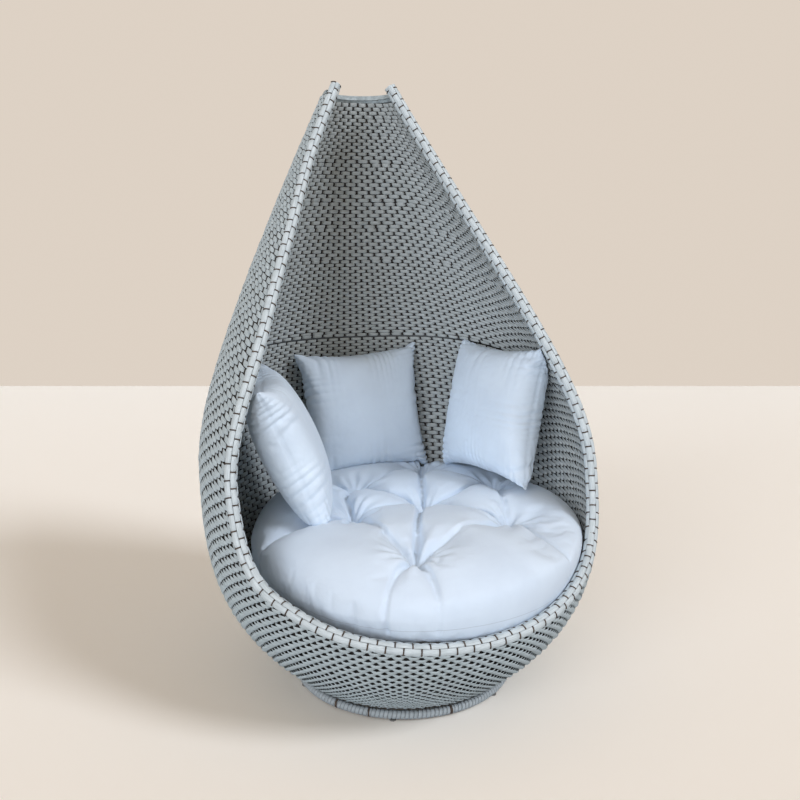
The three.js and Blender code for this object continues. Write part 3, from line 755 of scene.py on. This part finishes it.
def swell(piece, settings, held=()):
    cover = piece.modifiers.new("cloth", "CLOTH")
    fabric = {
        "quality": 5, "mass": 0.3, "air_damping": 2, "use_pressure": True,
        "uniform_pressure_force": settings["pressure"], "shrink_min": settings["shrink"],
        "tension_stiffness": settings["tension"], "compression_stiffness": settings["tension"],
        "shear_stiffness": settings["tension"] / 3, "bending_stiffness": settings["bending"],
        "tension_damping": 5, "compression_damping": 5, "shear_damping": 5,
    }
    for key, value in fabric.items():
        setattr(cover.settings, key, value)
    cover.settings.effector_weights.gravity = 0
    cover.collision_settings.use_collision = False
    if len(held):
        piece.vertex_groups.new(name="held").add([int(k) for k in held], 1.0, "REPLACE")
        cover.settings.vertex_group_mass = "held"
    cover.point_cache.frame_start = 1
    cover.point_cache.frame_end = settings["frames"]
    for frameNumber in range(1, settings["frames"] + 1):
        scene.frame_set(frameNumber)
    applyModifiers(piece)
    scene.frame_set(1)


def smoothOnce(piece, material):
    piece.modifiers.new("smooth", "SUBSURF").levels = 1
    piece.modifiers["smooth"].render_levels = 1
    applyModifiers(piece)
    piece.data.polygons.foreach_set("use_smooth", [True] * len(piece.data.polygons))
    piece.data.materials.clear()
    piece.data.materials.append(material)


def pressToShell(piece, clearance, softFrom):  # keeps a soft piece inside the linings
    spots = spotsOf(piece)
    aim = np.clip(spots[:, 2], *shell["pressRows"])
    row = aim.copy()
    for _ in range(5):
        centre = podSetback(row) + shell["centreY"]
        angle = np.arctan2(spots[:, 0], centre - spots[:, 1])
        edge = shellPoint(row, angle, shell["wall"] + clearance)
        row += aim - edge[:, 2]
    centre = podSetback(row) + shell["centreY"]
    reach = np.hypot(spots[:, 0], spots[:, 1] - centre)
    limit = np.hypot(edge[:, 0], edge[:, 1] - centre)
    full = np.maximum(reach, 1e-6) / limit
    over = np.clip((full - softFrom) / (1 - softFrom), 0, None)
    scale = np.where(over > 0, (softFrom + (1 - softFrom) * (1 - np.exp(-over))) / full, 1)
    spots[:, 0] *= scale
    spots[:, 1] = centre + (spots[:, 1] - centre) * scale
    moveSpots(piece, spots)


# Pillows

pillow = {
    "size": 0.502,
    "thickness": 0.208,
    "startSize": 0.500,
    "startThickness": 0.140,
    "draw": 0.070,  # how far the sides pull in between the corners
    "power": 0.43,
    "ripple": 0.0004,
    "cells": 64,
    "bunching": 0.4,  # crowds the cells toward the seam
    "frames": 18,
    "pressure": 1.3,
    "tension": 20,
    "bending": 0.30,
    "shrink": -0.022,
    "clearance": 0.003,
    "pressFrom": 0.98,
    "rise": 0.012,  # stands on the cushion's puffs
    "gathers": 17,  # puckers along one side's seam
    "gatherDepth": 0.0120,
    "gatherReach": 0.062,
    "gatherDrift": ((0.9, 3.1), (0.5, 7.3)),  # amount and pace by which their spacing wanders
    "gatherStagger": 0.35,  # from one face of the pillow to the other
    "gatherTurnover": 0.05,
    "gatherSharpness": 2.2,
    "gatherLevel": 0.28,  # taken off, so that the cover keeps its girth
    "gatherStrength": (0.65, 0.35, 2.3),  # mean, swing and pace along the seam
    "cornerFade": 0.12,
    "seamDepth": 0.0030,
    "seamWidth": 0.004,
    "seamFrom": 0.8,  # of the way out
    "seed": 3,
    "places": [  # piece, node, body, centre, then turn, lean and roll in radians
        ("pillow_cover_left", "throw_pillow_left", "left_pillow",
         (-0.3548, 0.1544, 0.7711), 1.417, 0.402, -0.028),
        ("pillow_cover_back", "throw_pillow_back", "back_pillow",
         (0.0138, 0.5696, 0.7687), 0.042, 0.192, -0.048),
        ("pillow_cover_right", "throw_pillow_right", "right_pillow",
         (0.4179, 0.2240, 0.8183), -1.335, 0.216, -0.056),
    ],
}
pillowCotton = cottonCloth("cottonPillowWhite", "#dbeaf8", "#d2e1f0")


def pillowForm(name, seed):
    count = pillow["cells"] + 1
    bunching = pillow["bunching"] * math.pi
    stations = np.sin(bunching * np.linspace(-1, 1, count)) / math.sin(bunching)
    u, v = np.meshgrid(stations, stations, indexing="xy")
    bulge = np.clip((1 - u ** 2) * (1 - v ** 2), 0, 1) ** pillow["power"]
    rng = np.random.default_rng(seed)
    sheets = []
    for side in (-1, 1):
        ripple = rng.normal(0, pillow["ripple"], bulge.shape) * (bulge > 0)
        sheets.append(np.stack([
            pillow["startSize"] / 2 * u * (1 - pillow["draw"] * (1 - v ** 2)),
            side * pillow["startThickness"] / 2 * bulge + ripple,
            pillow["startSize"] / 2 * v * (1 - pillow["draw"] * (1 - u ** 2)),
        ], -1).reshape(-1, 3))
    front = gridFaces(count, count)
    edge = (bulge == 0).ravel()
    back = np.where(edge, np.arange(count * count), np.arange(count * count) + count * count)
    faces = np.vstack([front, back[front[:, ::-1]]])
    used, faces = np.unique(faces, return_inverse=True)
    return solidFrom(name, np.vstack(sheets)[used], faces.reshape(-1, 4))


def gatherSeam(piece, seed):
    # puckers run across the seam, deepest at it, at uneven spacing; the seam itself is a fine groove
    spots = spotsOf(piece)
    normals = spotsOf(piece, "normal")
    half = pillow["size"] / 2
    u, v = spots[:, 0] / half, spots[:, 2] / half
    stagger = pillow["gatherStagger"] * np.clip(spots[:, 1] / pillow["gatherTurnover"], -1, 1)
    mean, swing, pace = pillow["gatherStrength"]
    rng = np.random.default_rng(seed)
    cut = np.zeros(len(spots))
    for along, across in ((u, v), (-u, -v), (v, -u), (-v, u)):
        bend = rng.uniform(0, 6, 3)
        place = along * pillow["gathers"] / 2
        for (amount, drift), start in zip(pillow["gatherDrift"], bend):
            place = place + amount * np.sin(drift * along + start)
        wave = 0.5 + 0.5 * np.cos(2 * math.pi * (place + stagger))
        valley = wave ** pillow["gatherSharpness"] - pillow["gatherLevel"]
        strength = mean + swing * np.sin(pace * along * math.pi + bend[2])
        inward = np.clip(1 - across, 0, 2) * half
        reach = np.exp(-inward / (pillow["gatherReach"] * strength))
        reach = reach * np.clip((1 - abs(along)) / pillow["cornerFade"], 0, 1)
        cut += pillow["gatherDepth"] * strength * valley * reach
    rim = np.maximum(abs(u), abs(v)) > pillow["seamFrom"]
    cut += pillow["seamDepth"] * np.clip(1 - abs(spots[:, 1]) / pillow["seamWidth"], 0, 1) * rim
    moveSpots(piece, spots - normals * cut[:, None])


pillowPieces = []
for seed, (pieceName, node, body, place, turn, lean, roll) in enumerate(pillow["places"], pillow["seed"]):
    report("stuffing " + pieceName)
    piece = pillowForm(pieceName, seed)
    swell(piece, pillow)
    spots = spotsOf(piece)
    spots *= np.array([pillow["size"], pillow["thickness"], pillow["size"]]) / np.ptp(spots, axis=0)
    moveSpots(piece, spots)
    smoothOnce(piece, pillowCotton)
    gatherSeam(piece, seed)
    centre = (place[0], place[1] + shell["centreY"], place[2] + pillow["rise"])
    piece.data.transform(Matrix.Translation(centre) @ Matrix.Rotation(turn, 4, "Z")
                         @ Matrix.Rotation(-lean, 4, "X") @ Matrix.Rotation(roll, 4, "Y"))
    pressToShell(piece, pillow["clearance"], pillow["pressFrom"])
    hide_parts(node)
    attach(piece, body)
    pillowPieces.append(piece)

# Seat cushion: round, tufted at seven places that sit off their even pattern

seat = {
    "radius": 0.5433,
    "reach": 0.5823,  # half its length, front to back
    "height": 0.232,
    "fullShare": 1.02,  # of the height, at the top of the puffs
    "backRise": 0.018,  # more height at the back edge
    "waistShare": 0.44,  # of the height, where the side stands out furthest
    "edge": 0.165,  # how far in the front edge begins to round off
    "backEdge": 0.085,
    "tuck": 0.036,  # the same, underneath
    "aside": 0.064,
    "back": 0.024,
    "creep": 0.014,  # the middle lies this much further back than the edge
    "base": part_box("seat_cushion")[0].z,
    "around": 200,
    "upperRings": (50, 15),  # evenly spaced ones, then ones that crowd to the edge
    "lowerRings": (20, 11),
    "firstRing": 0.01,  # share of the radius
    "ringSplit": (0.85, 0.15),  # shares of the radius that the two kinds take up
    "ringPower": 1.6,
    "tufts": 6,
    "tuftRing": 0.332,
    "tuftStart": -0.375,
    "tuftDepth": 0.108,
    "tuftReach": 0.060,
    "creaseDepth": 0.040,
    "edgeCreaseDepth": 0.024,
    "puffWidth": 0.100,
    "edgePuffShare": 0.6,
    "driftReach": 0.150,
    "fadeShare": 0.3,
    "drifts": np.array([  # how far each tuft sits off its even place, in radii
        [0.055, 0.055], [-0.045, -0.136], [0.08, 0.129], [0.049, 0.204],
        [0.07, 0.168], [0.095, -0.018], [0.172, 0.09],
    ]),
    "frontCreases": (-0.50, -0.25),  # angles at which the front tuft's creases cross the edge
    "voxel": 0.012,
    "heldReach": 0.014,  # round each tuft the cover is held down
    "heldAbove": 0.09,
    "heldBelow": 0.02,
    "top": 0.590,
    "topGive": 0.5,  # what swells above the top keeps this share
    "overEdgeShare": 1.25,  # how far an outer crease runs on, down the side
    "creaseMarks": 90,
    "sewnFrom": 0.2,  # of the height
    "seam": 0.396,
    "frames": 14,
    "pressure": 1.5,
    "tension": 20,
    "bending": 0.12,
    "shrink": -0.05,
    "sewnDepth": 0.0090,
    "sewnWidth": 0.012,
    "pleats": 11,
    "pleatWander": 1.3,
    "pleatDepth": 0.0044,
    "pleatCentre": 0.060,
    "pleatReach": 0.052,
    "slump": 0.022,  # how far the front settles out onto the rim
    "slumpAngle": -0.55,
    "slumpWidth": 0.75,
    "slumpFrom": 0.75,  # of the radius
    "slumpTop": 0.09,
    "slumpFade": 0.08,
    "clearance": 0.001,
    "pressFrom": 0.955,
    "pillowGap": 0.002,
    "dentFrom": 0.08,
    "seed": 4,
}
seatCotton = cottonCloth("cottonPaleBlueWhite", "#dae9f8", "#d2e1f1", seat["seam"])


def tuftPlaces():
    angle = seat["tuftStart"] + 2 * math.pi * np.arange(seat["tufts"]) / seat["tufts"]
    return np.vstack([[[0.0, 0.0]], seat["tuftRing"] * np.stack([np.sin(angle), -np.cos(angle)], 1)])


def creaseLines():
    places = tuftPlaces()
    lines = []
    for k in range(1, len(places)):
        here, after = places[k], places[k % seat["tufts"] + 1]
        lines.append((places[0], here, seat["creaseDepth"], seat["puffWidth"]))
        lines.append((here, after, seat["creaseDepth"], seat["puffWidth"]))
        straight = seat["tuftStart"] + 2 * math.pi * (k - 1) / seat["tufts"]
        for angle in seat["frontCreases"] if k == 1 else [straight]:
            end = seat["radius"] * np.array([math.sin(angle), -math.cos(angle)])
            lines.append((here, end, seat["edgeCreaseDepth"], seat["puffWidth"] * seat["edgePuffShare"]))
    return lines


def lineDistance(spots, start, end):
    run = end - start
    share = np.clip(((spots - start) @ run) / (run @ run), 0, 1)
    return np.linalg.norm(spots - start - share[..., None] * run, axis=-1)


def tuftFall(spots):
    nearest = np.min([np.linalg.norm(spots - place, axis=-1) for place in tuftPlaces()], axis=0)
    pull = np.exp(-nearest / seat["tuftReach"])
    fall = np.zeros(spots.shape[:-1])
    for start, end, depth, width in creaseLines():
        share = 1 - np.minimum(lineDistance(spots, start, end) / width, 1)
        fall = np.maximum(fall, (depth + (seat["tuftDepth"] - depth) * pull) * (1 - np.sqrt(1 - share ** 2)))
    return fall


def drifted(spots):
    share = np.linalg.norm(spots, axis=-1) / seat["radius"]
    hold = seat["radius"] * np.clip((1 - share) / seat["fadeShare"], 0, 1)
    moved = spots.copy()
    for place, drift in zip(tuftPlaces(), seat["drifts"]):
        near = hold * np.exp(-(np.linalg.norm(spots - place, axis=-1) / seat["driftReach"]) ** 2)
        moved += near[..., None] * drift
    return moved


def laidOut(spots, moved):
    share = np.linalg.norm(spots, axis=-1) / seat["radius"]
    y = moved[..., 1] * seat["reach"] / seat["radius"] + seat["creep"] * (1 - share ** 2)
    return np.stack([moved[..., 0] + seat["aside"], y + seat["back"] + shell["centreY"]], -1)


def cushionPoint(share, angle, top):
    spot = np.stack([np.sin(angle), -np.cos(angle)], -1) * (share * seat["radius"])[..., None]
    behind = (1 - np.cos(angle)) / 2
    rounded = seat["edge"] + (seat["backEdge"] - seat["edge"]) * behind if top else seat["tuck"]
    inward = np.minimum(seat["radius"] * (1 - share) / rounded, 1)
    edge = np.sqrt(np.clip(1 - (1 - inward) ** 2, 0, 1))
    waist = seat["height"] * seat["waistShare"]
    if top:
        full = seat["height"] * seat["fullShare"] + seat["backRise"] * behind * share ** 2
        height = waist + (full - waist) * edge - tuftFall(spot) * inward
    else:
        height = waist * (1 - edge)
    plan = laidOut(spot, drifted(spot) if top else spot)
    return np.column_stack([plan, seat["base"] + height])


def ringShares(inner, outer):
    even, crowded = seat["ringSplit"]
    toEdge = np.linspace(1, 0, outer + 1)[1:]
    evenly = np.linspace(seat["firstRing"], even, inner)
    return np.concatenate([evenly, 1 - crowded * toEdge ** seat["ringPower"]])


def cushionForm(name):
    around = seat["around"]
    upper = ringShares(*seat["upperRings"])
    lower = ringShares(*seat["lowerRings"])[:-1]  # its last ring is the upper one's
    angle = 2 * math.pi * np.arange(around) / around
    rings = [cushionPoint(np.full(around, share), angle, False) for share in lower]
    rings += [cushionPoint(np.full(around, share), angle, True) for share in upper[::-1]]
    ends = [rings[0].mean(0), rings[-1].mean(0)]
    verts = np.vstack([*rings, ends])
    j = np.arange(around)
    nextJ = (j + 1) % around
    start = (len(rings) - 1) * around
    bottom = np.full(around, len(verts) - 2)
    faces = [  # the walls, then triangles to the two middles
        gridFaces(len(rings), around, closeColumns=True),
        np.stack([bottom, nextJ, j, j], -1),
        np.stack([bottom + 1, start + j, start + nextJ, start + nextJ], -1),
    ]
    return solidFrom(name, verts, np.vstack(faces))


def sewCreases(piece):
    spots = spotsOf(piece)
    normals = spotsOf(piece, "normal")
    marks = []
    for start, end, depth, _ in creaseLines():
        reach = seat["overEdgeShare"] if depth == seat["edgeCreaseDepth"] else 1.0
        marks += [start + (end - start) * share for share in np.linspace(0, reach, seat["creaseMarks"])]
    marks = laidOut(np.array(marks), drifted(np.array(marks)))
    tree = KDTree(len(marks))
    for k, (x, y) in enumerate(marks):
        tree.insert((x, y, 0), k)
    tree.balance()
    upper = spots[:, 2] > seat["base"] + seat["height"] * seat["sewnFrom"]
    away = np.array([tree.find((x, y, 0))[2] if top else 1.0 for (x, y, _), top in zip(spots, upper)])
    cut = seat["sewnDepth"] * np.clip(1 - away / seat["sewnWidth"], 0, 1)
    rng = np.random.default_rng(seat["seed"])
    for place in laidOut(tuftPlaces(), drifted(tuftPlaces())):
        offset = spots[:, :2] - place
        turn = np.arctan2(offset[:, 1], offset[:, 0])
        phase = rng.uniform(0, 6, 2)
        wander = seat["pleatWander"] * np.sin(2 * turn + phase[1])
        fold = np.cos(seat["pleats"] * turn + phase[0] + wander)
        reach = np.exp(-((np.linalg.norm(offset, axis=1) - seat["pleatCentre"]) / seat["pleatReach"]) ** 2)
        cut += seat["pleatDepth"] * fold * reach * upper
    moveSpots(piece, spots - normals * cut[:, None])


def slumpForward(piece):
    spots = spotsOf(piece)
    middleSpot = np.array([seat["aside"], seat["back"] + shell["centreY"]])
    outward = spots[:, :2] - middleSpot
    angle = np.arctan2(outward[:, 0], -outward[:, 1])
    distance = np.linalg.norm(outward, axis=1)
    front = np.exp(-((angle - seat["slumpAngle"]) / seat["slumpWidth"]) ** 2)
    edge = np.clip((distance / seat["radius"] - seat["slumpFrom"]) / (1 - seat["slumpFrom"]), 0, 1)
    low = np.clip(1 - (spots[:, 2] - seat["base"] - seat["slumpTop"]) / seat["slumpFade"], 0, 1)
    push = seat["slump"] * front * edge * low
    spots[:, :2] += outward / np.maximum(distance, 1e-6)[:, None] * push[:, None]
    moveSpots(piece, spots)


def pressUnder(piece, covers, gap):  # dents the cushion where the pillows rest on it
    spots = spotsOf(piece)
    for cover in covers:
        coverSpots = spotsOf(cover)
        tree = BVHTree.FromPolygons(coverSpots.tolist(), [face.vertices for face in cover.data.polygons])
        low, high = coverSpots[:, :2].min(0), coverSpots[:, :2].max(0)
        inside = ((spots[:, :2] > low) & (spots[:, :2] < high)).all(1)
        inside &= spots[:, 2] > seat["base"] + seat["dentFrom"]
        for k in np.nonzero(inside)[0]:
            hit = tree.ray_cast((spots[k, 0], spots[k, 1], seat["base"]), (0, 0, 1))[0]
            if hit and spots[k, 2] > hit.z - gap:
                spots[k, 2] = hit.z - gap
    moveSpots(piece, spots)


report("sewing the seat cushion")
seatPiece = cushionForm("tufted_seat_cushion")
remesh = seatPiece.modifiers.new("remesh", "REMESH")
remesh.mode = "VOXEL"
remesh.voxel_size = seat["voxel"]
applyModifiers(seatPiece)
formSpots = spotsOf(seatPiece)
tuftSpots = laidOut(tuftPlaces(), drifted(tuftPlaces()))
tuftAway = np.min([np.linalg.norm(formSpots[:, :2] - place, axis=1) for place in tuftSpots], axis=0)
sewn = (tuftAway < seat["heldReach"]) & (formSpots[:, 2] > seat["base"] + seat["heldAbove"])
heldSpots = np.nonzero(sewn | (formSpots[:, 2] < seat["base"] + seat["heldBelow"]))[0]
swell(seatPiece, seat, heldSpots)
puffs = spotsOf(seatPiece)
squashed = seat["top"] + (puffs[:, 2] - seat["top"]) * seat["topGive"]
puffs[:, 2] = np.where(puffs[:, 2] > seat["top"], squashed, puffs[:, 2])
moveSpots(seatPiece, puffs)
smoothOnce(seatPiece, seatCotton)
sewCreases(seatPiece)
slumpForward(seatPiece)
pressToShell(seatPiece, seat["clearance"], seat["pressFrom"])
pressUnder(seatPiece, pillowPieces, seat["pillowGap"])
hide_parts("seat_cushion")
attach(seatPiece, "shell")

# Cage, panel and glides keep their solids

cageMarks = {"orangePeel": 1.111, "figureLength": 333.33, "figureWidth": 11.111}  # mm

# Powder coat on steel tube: satin, with a faint orange peel
powderCoat, coatTree, coatShader = newMaterial("powderCoatGrey", "#484c4d", 0.5)
coatSpot = addNode(coatTree, "ShaderNodeTexCoord").outputs["Object"]
peel = addNode(coatTree, "ShaderNodeTexNoise", {"Scale": perMetre(cageMarks["orangePeel"]), "Detail": 2.0},
               {"Vector": coatSpot})
paintLayers(coatTree, coatShader, [(peel, 0.3, 0.7, 0.0, 1.0, "#55595a")])
coatBump = addNode(coatTree, "ShaderNodeBump", {"Strength": 0.2, "Distance": 0.0003}, {"Height": peel})
coatTree.links.new(coatBump.outputs[0], coatShader.inputs["Normal"])

# Stained plywood: long soft grain along X
plywood, plyTree, plyShader = newMaterial("plywoodDarkStain", "#544b41", 0.6)
plySpot = addNode(plyTree, "ShaderNodeTexCoord").outputs["Object"]
lengthways, crossways = perMetre(cageMarks["figureLength"]), perMetre(cageMarks["figureWidth"])
plyLength = addNode(plyTree, "ShaderNodeMapping", {"Scale": (lengthways, crossways, crossways)},
                    {"Vector": plySpot})
figure = addNode(plyTree, "ShaderNodeTexNoise", {"Scale": 1.0, "Detail": 5.0}, {"Vector": plyLength})
paintLayers(plyTree, plyShader, [(figure, 0.35, 0.65, 0.0, 1.0, "#6b6054")])

# Moulded polyethylene: matt, scuffed
glidePlastic = darkResin("polyethyleneGrey", "#6a6a67", "#7a7a76")

for name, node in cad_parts.items():
    finish = powderCoat
    if name == "seat_panel":
        finish = plywood
    elif name.startswith("glide"):
        finish = glidePlastic
    elif name in ("top_strand", "top_bar"):
        finish = barResin
    elif name == "rim_tube":  # glimpsed between its strips where the rim bends
        finish = rimResin
    node.data.materials.clear()
    node.data.materials.append(finish)

# Floor and backdrop: the camera sees the warm tone, the chair gets a neutral bounce

view = {"place": (-0.852, -2.692, 1.516), "azimuth": -17.34, "down": 11.62, "lens": 39.66}
stage = {
    "floor": "#fff9ef",
    "wall": "#ddd1c4",
    "bounce": "#c4c6c6",
    "wallDistance": 8.016,
    "halfWidth": 12,
    "height": 9,
}


def stageMaterial(name, colour, glow=False):
    material, tree, shader = newMaterial(name, stage["bounce"], 0.9)
    shader.inputs["Specular IOR Level"].default_value = 0.1
    seen = addNode(tree, "ShaderNodeLightPath").outputs["Is Camera Ray"]
    if glow:  # the wall is a lit backdrop
        shader.inputs["Emission Color"].default_value = linear(colour)
        tree.links.new(seen, shader.inputs["Emission Strength"])
    paintLayers(tree, shader, [(seen, 0.0, 1.0, 0.0, 1.0, "#000000" if glow else colour)])
    return material


cameraPlace = Vector((view["place"][0], view["place"][1] + shell["centreY"], view["place"][2]))
lookTurn = Matrix.Rotation(math.radians(view["azimuth"]), 3, "Z")
ahead, aside = lookTurn @ Vector((0, 1, 0)), lookTurn @ Vector((1, 0, 0))
wallFoot = Vector((cameraPlace.x, cameraPlace.y, 0)) + ahead * stage["wallDistance"]
wallEnds = [wallFoot - aside * stage["halfWidth"], wallFoot + aside * stage["halfWidth"]]
nearEnds = [spot - ahead * stage["halfWidth"] for spot in wallEnds]
highEnds = [spot + Vector((0, 0, stage["height"])) for spot in wallEnds]
floorPiece = makeObject("studio_floor", [nearEnds[0], nearEnds[1], wallEnds[1], wallEnds[0]], [(0, 1, 2, 3)],
                        stageMaterial("paperFloor", stage["floor"]), smooth=False)
wallPiece = makeObject("studio_wall", [wallEnds[0], wallEnds[1], highEnds[1], highEnds[0]], [(0, 1, 2, 3)],
                       stageMaterial("paperWall", stage["wall"], glow=True), smooth=False)

# Light: a key from the right that throws the shadow, and a broad soft one from the left front

lamps = [  # name, the way to it, degrees up, strength, its own angle, colour
    ("key", (0.739, -0.673), 40, 1.62, 0.32, "#eef4ff"),
    ("broad", (-0.66, -0.75), 15, 1.98, 0.9, "#ecf3ff"),
]
sky = {"colour": "#ffe4c2", "strength": 0.38}
for name, heading, height, strength, spread, colour in lamps:
    lamp = bpy.data.lights.new(name, "SUN")
    lamp.angle = spread
    lamp.energy = strength
    lamp.color = linear(colour)[:3]
    lampObject = bpy.data.objects.new(name, lamp)
    scene.collection.objects.link(lampObject)
    toward = Vector((*heading, math.tan(math.radians(height))))
    lampObject.location = toward * 5  # any distance does for a sun
    lampObject.rotation_euler = toward.to_track_quat("Z", "Y").to_euler()

world = bpy.data.worlds.new("studio")
scene.world = world
world.use_nodes = True
background = world.node_tree.nodes["Background"]
background.inputs["Color"].default_value = linear(sky["colour"])
background.inputs["Strength"].default_value = sky["strength"]

# Camera, as solved from the photograph

cameraData = bpy.data.cameras.new("camera")
cameraData.sensor_width = 36
cameraData.lens = view["lens"]
camera = bpy.data.objects.new("camera", cameraData)
scene.collection.objects.link(camera)
camera.location = cameraPlace
camera.rotation_euler = (math.radians(90 - view["down"]), 0, math.radians(view["azimuth"]))
scene.camera = camera
scene.view_settings.view_transform = "Standard"

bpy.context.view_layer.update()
report("done")
